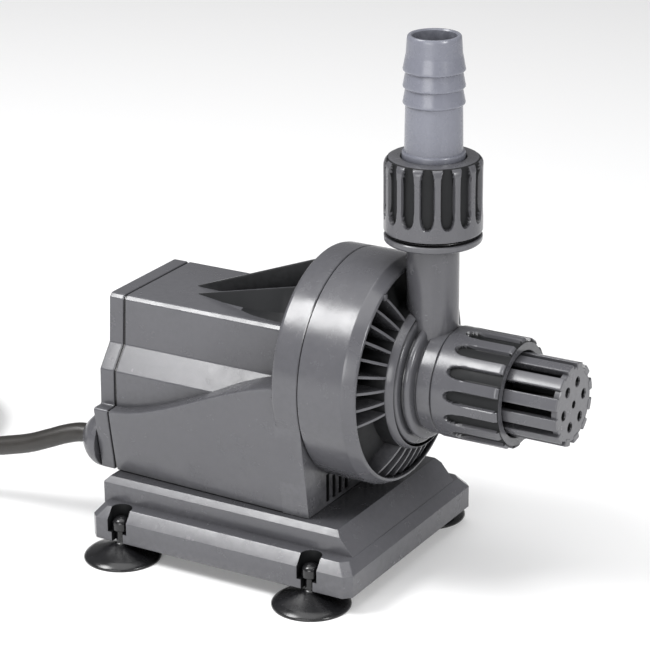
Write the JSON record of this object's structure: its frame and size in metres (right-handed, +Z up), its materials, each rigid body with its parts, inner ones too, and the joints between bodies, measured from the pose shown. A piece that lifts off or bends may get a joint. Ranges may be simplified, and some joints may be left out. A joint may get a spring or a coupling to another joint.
{
  "type": "fountain submersible pump",
  "caption": "Submersible fountain pump with finned intake shroud, screw-on strainer, upright hose outlet and a plinth on suction cups.",
  "frame": {"origin": "centre of the pump's own box at the height of the surface it stands on, cord left out", "axes": "+X along the pump axis towards the inlet strainer, +Z up through the outlet"},
  "size_m": [0.4429, 0.1534, 0.2254],
  "materials": {
    "grey_abs": "satin moulded",
    "pale_grey_abs": "satin moulded",
    "dark_plastic": "fine grain",
    "black_rubber": "smooth soft",
    "cord_rubber": "dull",
    "stainless_steel": "brushed",
    "plug_brass": "nickel plated",
    "laminated_iron": "stamped stack",
    "enamelled_copper": "wound",
    "ceramic": "polished",
    "ferrite": "ground",
    "impeller_white": "moulded",
    "bobbin_nylon": "moulded",
    "carbon_bush": "fine"
  },
  "bodies": {
    "pump": {"motor_housing": "grey_abs", "rear_cover": "grey_abs", "rear_cover_seal": "black_rubber", "cable_gland": "grey_abs", "base_plate": "grey_abs", "front_shroud": "grey_abs", "volute_casing": "grey_abs", "volute_seal": "black_rubber", "rotor_shaft": "ceramic", "front_bearing_bush": "carbon_bush", "rear_bearing_bush": "carbon_bush", "rotor_can": "dark_plastic", "stator_core": "laminated_iron", "bobbin_left": "bobbin_nylon", "bobbin_right": "bobbin_nylon", "coil_left": "enamelled_copper", "coil_right": "enamelled_copper", "outlet_o_ring": "black_rubber", "inlet_o_ring": "black_rubber", "power_cord": "cord_rubber", "power_cord_tail": "cord_rubber", "cord_coil": "cord_rubber", "coil_tie": "black_rubber", "power_plug": "black_rubber", "plug_pin_1": "plug_brass", "plug_pin_2": "plug_brass", "cover_screw_1": "stainless_steel", "base_screw_1": "stainless_steel", "cover_screw_2": "stainless_steel", "base_screw_2": "stainless_steel", "cover_screw_3": "stainless_steel", "base_screw_3": "stainless_steel", "cover_screw_4": "stainless_steel", "base_screw_4": "stainless_steel"},
    "rotor": {"rotor_magnet": "ferrite", "impeller": "impeller_white"},
    "hose_tail": {"hose_tail": "pale_grey_abs"},
    "outlet_nut": {"outlet_union_nut": "grey_abs"},
    "strainer": {"strainer_cage": "grey_abs"},
    "inlet_nut": {"inlet_nut": "grey_abs"},
    "cup_1": {"suction_cup_1": "black_rubber"},
    "cup_2": {"suction_cup_2": "black_rubber"},
    "cup_3": {"suction_cup_3": "black_rubber"},
    "cup_4": {"suction_cup_4": "black_rubber"}
  },
  "joints": [
    {"name": "rotor_spin", "type": "hinge", "parent": "pump", "child": "rotor", "pos_m": [-0.01692, 0, 0.0862], "axis": [1, 0, 0], "continuous": true},
    {"name": "hose_tail_lift", "type": "slide", "parent": "pump", "child": "hose_tail", "axis": [0, 0, 1], "range_m": [0, 0.0166]},
    {"name": "outlet_nut_turn", "type": "hinge", "parent": "hose_tail", "child": "outlet_nut", "pos_m": [0.04317, 0, 0.16], "axis": [0, 0, 1], "range_deg": [0, 1980]},
    {"name": "strainer_draw", "type": "slide", "parent": "pump", "child": "strainer", "axis": [1, 0, 0], "range_m": [0, 0.0181]},
    {"name": "inlet_nut_turn", "type": "hinge", "parent": "strainer", "child": "inlet_nut", "pos_m": [0.06807, 0, 0.0862], "axis": [1, 0, 0], "range_deg": [0, 2160]},
    {"name": "suction_cup_1_pull", "type": "slide", "parent": "pump", "child": "cup_1", "axis": [0, -1, 0], "range_m": [0, 0.008]},
    {"name": "suction_cup_2_pull", "type": "slide", "parent": "pump", "child": "cup_2", "axis": [0, 1, 0], "range_m": [0, 0.008]},
    {"name": "suction_cup_3_pull", "type": "slide", "parent": "pump", "child": "cup_3", "axis": [0, -1, 0], "range_m": [0, 0.008]},
    {"name": "suction_cup_4_pull", "type": "slide", "parent": "pump", "child": "cup_4", "axis": [0, 1, 0], "range_m": [0, 0.008]}
  ],
  "couplings": [
    {"joint": "hose_tail_lift", "follows": "outlet_nut_turn", "m_per_rad": 0.00047746},
    {"joint": "strainer_draw", "follows": "inlet_nut_turn", "m_per_rad": 0.00047746}
  ]
}
